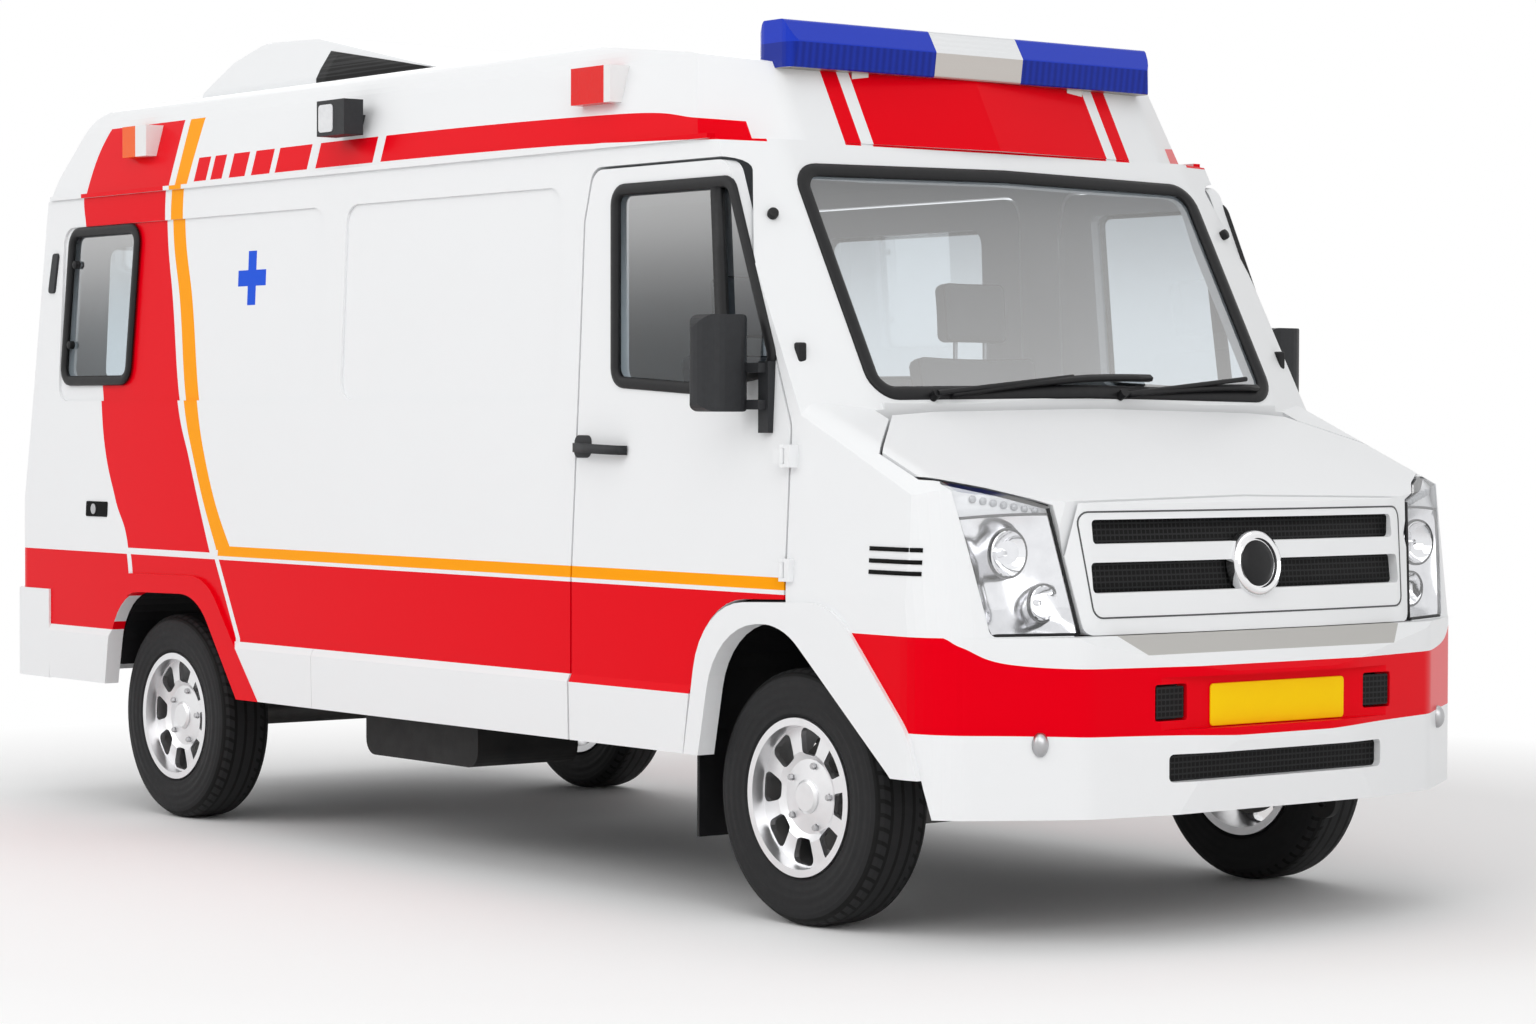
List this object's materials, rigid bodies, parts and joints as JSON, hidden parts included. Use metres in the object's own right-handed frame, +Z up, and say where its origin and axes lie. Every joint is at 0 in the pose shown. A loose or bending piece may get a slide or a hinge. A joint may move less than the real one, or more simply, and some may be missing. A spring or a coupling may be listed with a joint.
{
  "type": "bonneted van ambulance",
  "caption": "High-roof bonneted van ambulance with steered front wheels, hinged cab doors, rear doors and bonnet, roof light bar and air unit; hollow patient space.",
  "frame": {"origin": "on the ground at mid length, on the middle plane", "axes": "+X forward, +Y to the vehicle's left, +Z up"},
  "size_m": [5.296, 2.28, 2.65],
  "materials": {
    "white_paint": "gloss",
    "dark_plastic": "satin",
    "frame_steel": "satin",
    "cast": "rough",
    "bare_steel": "satin",
    "wheel_metal": "polished",
    "tyre": "matte",
    "rubber": "matte",
    "glass": "gloss",
    "lamp_lens": "gloss",
    "blue_lens": "gloss",
    "red_lens": "gloss",
    "seat_fabric": "woven"
  },
  "bodies": {
    "vehicle": {"side_wall_right": "white_paint", "side_wall_left": "white_paint", "sliding_door": "white_paint", "rear_frame": "white_paint", "roof": "white_paint", "cab_front": "white_paint", "fenders": "white_paint", "grille": "white_paint", "front_bumper": "white_paint", "rear_bumper": "white_paint", "skirts": "white_paint", "arch_flares": "white_paint", "roof_pod": "white_paint", "floor_pan": "white_paint", "wheel_liners": "dark_plastic", "flood_lamps": "dark_plastic", "dashboard": "dark_plastic", "wipers": "dark_plastic", "radiator": "dark_plastic", "chassis_frame": "frame_steel", "leaf_springs": "frame_steel", "fuel_tank": "frame_steel", "seat_bases": "frame_steel", "hinges": "frame_steel", "front_axle": "cast", "rear_axle": "cast", "engine": "cast", "exhaust": "bare_steel", "mud_flaps": "rubber", "side_glass": "glass", "windscreen": "glass", "headlamps": "lamp_lens", "light_bar": "blue_lens", "side_lamps": "red_lens", "seat_left": "seat_fabric", "seat_right": "seat_fabric"},
    "knuckle_left": {"knuckle_left": "cast"},
    "knuckle_right": {"knuckle_right": "cast"},
    "wheel_front_left": {"rim_front_left": "wheel_metal", "tyre_front_left": "tyre"},
    "wheel_front_right": {"rim_front_right": "wheel_metal", "tyre_front_right": "tyre"},
    "wheel_rear_left": {"rim_rear_left": "wheel_metal", "tyre_rear_left": "tyre"},
    "wheel_rear_right": {"rim_rear_right": "wheel_metal", "tyre_rear_right": "tyre"},
    "door_left": {"door_left": "white_paint", "door_left_glass": "glass", "mirror_left": "dark_plastic"},
    "door_right": {"door_right": "white_paint", "door_right_glass": "glass", "mirror_right": "dark_plastic"},
    "rear_door_left": {"rear_door_left": "white_paint", "rear_door_left_glass": "glass"},
    "rear_door_right": {"rear_door_right": "white_paint", "rear_door_right_glass": "glass"},
    "bonnet": {"bonnet": "white_paint"},
    "steering_wheel": {"steering_wheel": "dark_plastic"}
  },
  "joints": [
    {"name": "steer_left", "type": "hinge", "parent": "vehicle", "child": "knuckle_left", "pos_m": [1.75, 0.745, 0.343], "axis": [0, 0, 1], "range_deg": [-35, 35]},
    {"name": "steer_right", "type": "hinge", "parent": "vehicle", "child": "knuckle_right", "pos_m": [1.75, -0.745, 0.343], "axis": [0, 0, 1], "range_deg": [-35, 35]},
    {"name": "steering_wheel_turn", "type": "hinge", "parent": "vehicle", "child": "steering_wheel", "pos_m": [1.43, -0.43, 1.26], "axis": [-0.848, 0, 0.5299], "range_deg": [-540, 540]},
    {"name": "roll_front_left", "type": "hinge", "parent": "knuckle_left", "child": "wheel_front_left", "pos_m": [1.75, 0.83, 0.343], "axis": [0, 1, 0], "continuous": true},
    {"name": "roll_front_right", "type": "hinge", "parent": "knuckle_right", "child": "wheel_front_right", "pos_m": [1.75, -0.83, 0.343], "axis": [0, 1, 0], "continuous": true},
    {"name": "roll_rear_left", "type": "hinge", "parent": "vehicle", "child": "wheel_rear_left", "pos_m": [-1.6, 0.83, 0.343], "axis": [0, 1, 0], "continuous": true},
    {"name": "roll_rear_right", "type": "hinge", "parent": "vehicle", "child": "wheel_rear_right", "pos_m": [-1.6, -0.83, 0.343], "axis": [0, 1, 0], "continuous": true},
    {"name": "door_left_swing", "type": "hinge", "parent": "vehicle", "child": "door_left", "pos_m": [1.779, 0.995, 1.2], "axis": [0, 0, -1], "range_deg": [0, 65]},
    {"name": "door_right_swing", "type": "hinge", "parent": "vehicle", "child": "door_right", "pos_m": [1.779, -0.995, 1.2], "axis": [0, 0, 1], "range_deg": [0, 65]},
    {"name": "rear_door_left_swing", "type": "hinge", "parent": "vehicle", "child": "rear_door_left", "pos_m": [-2.61596, 0.842, 0.64091], "axis": [-0.0908, 0, -0.9959], "range_deg": [0, 95]},
    {"name": "rear_door_right_swing", "type": "hinge", "parent": "vehicle", "child": "rear_door_right", "pos_m": [-2.61596, -0.842, 0.64091], "axis": [0.0908, 0, 0.9959], "range_deg": [0, 95]},
    {"name": "bonnet_lift", "type": "hinge", "parent": "vehicle", "child": "bonnet", "pos_m": [1.94, 0, 1.338], "axis": [0, -1, 0], "range_deg": [0, 60]}
  ],
  "couplings": [
    {"joint": "steer_right", "follows": "steer_left", "ratio": 1},
    {"joint": "steering_wheel_turn", "follows": "steer_left", "ratio": 15}
  ]
}
